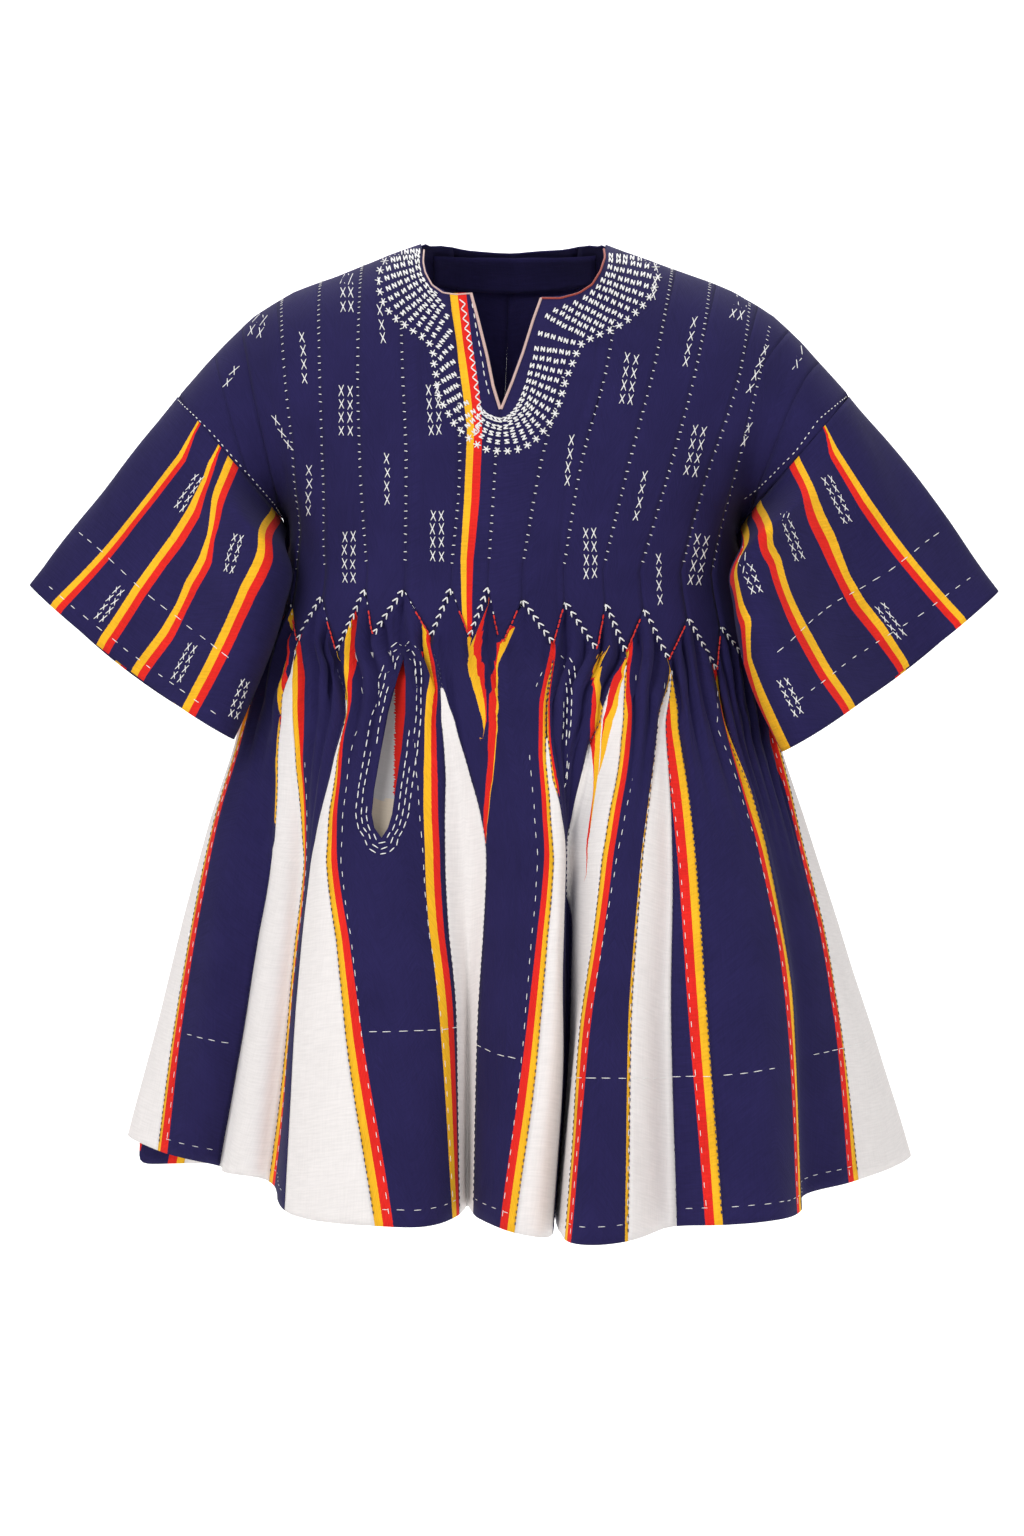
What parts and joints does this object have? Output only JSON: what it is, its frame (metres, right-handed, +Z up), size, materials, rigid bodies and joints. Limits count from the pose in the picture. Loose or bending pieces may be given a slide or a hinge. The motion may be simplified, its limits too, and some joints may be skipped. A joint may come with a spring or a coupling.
{
  "type": "peplum top",
  "caption": "Hollow worn smock-style peplum top: strip-woven bodice with pointed waist, flared gored skirt, wide short sleeves, slit neck.",
  "frame": {"origin": "midway between the two neck points, at the height where the shoulders carry the garment", "axes": "+Z up the body, -Y out of the front, +X to the wearer's left, which is the right of the picture"},
  "size_m": [0.8316, 0.5569, 0.8194],
  "materials": {
    "cloth_navy": "matt handwoven cotton, navy with yellow and red selvedge stripes",
    "cloth_white": "matt handwoven cotton, natural white",
    "cloth_cream": "matt plain cotton, cream"
  },
  "bodies": {
    "root": {"godet_back_1": "cloth_white", "godet_back_2": "cloth_white", "godet_back_3": "cloth_white", "godet_back_4": "cloth_white", "godet_back_5": "cloth_white", "godet_back_6": "cloth_white", "godet_front_1": "cloth_white", "godet_front_2": "cloth_white", "godet_front_3": "cloth_white", "godet_front_4": "cloth_white", "godet_front_5": "cloth_white", "godet_front_6": "cloth_white", "godet_front_7": "cloth_white", "godet_front_8": "cloth_white", "gore_back_1": "cloth_navy", "gore_back_2": "cloth_navy", "gore_back_3": "cloth_navy", "gore_back_4": "cloth_navy", "gore_back_5": "cloth_navy", "gore_back_6": "cloth_navy", "gore_back_7": "cloth_navy", "gore_front_1": "cloth_navy", "gore_front_2": "cloth_navy", "gore_front_3_pocket": "cloth_navy", "gore_front_4_centre": "cloth_navy", "gore_front_5_pocket": "cloth_navy", "gore_front_6": "cloth_navy", "gore_front_7": "cloth_navy", "gore_front_8": "cloth_navy", "gore_front_9": "cloth_navy", "neck_facing_back": "cloth_navy", "pocket_bag": "cloth_cream", "sleeve_left": "cloth_navy", "sleeve_right": "cloth_navy", "strip_left_1_back": "cloth_navy", "strip_left_1_front": "cloth_navy", "strip_left_2_back": "cloth_navy", "strip_left_2_front": "cloth_navy", "strip_left_3": "cloth_navy", "strip_left_4": "cloth_navy", "strip_left_5": "cloth_navy", "strip_left_6": "cloth_navy", "strip_left_7": "cloth_navy", "strip_left_8": "cloth_navy", "strip_right_1_back": "cloth_navy", "strip_right_1_front": "cloth_navy", "strip_right_2_back": "cloth_navy", "strip_right_2_front": "cloth_navy", "strip_right_3": "cloth_navy", "strip_right_4": "cloth_navy", "strip_right_5": "cloth_navy", "strip_right_6": "cloth_navy", "strip_right_7": "cloth_navy", "strip_right_8": "cloth_navy"}
  },
  "joints": []
}
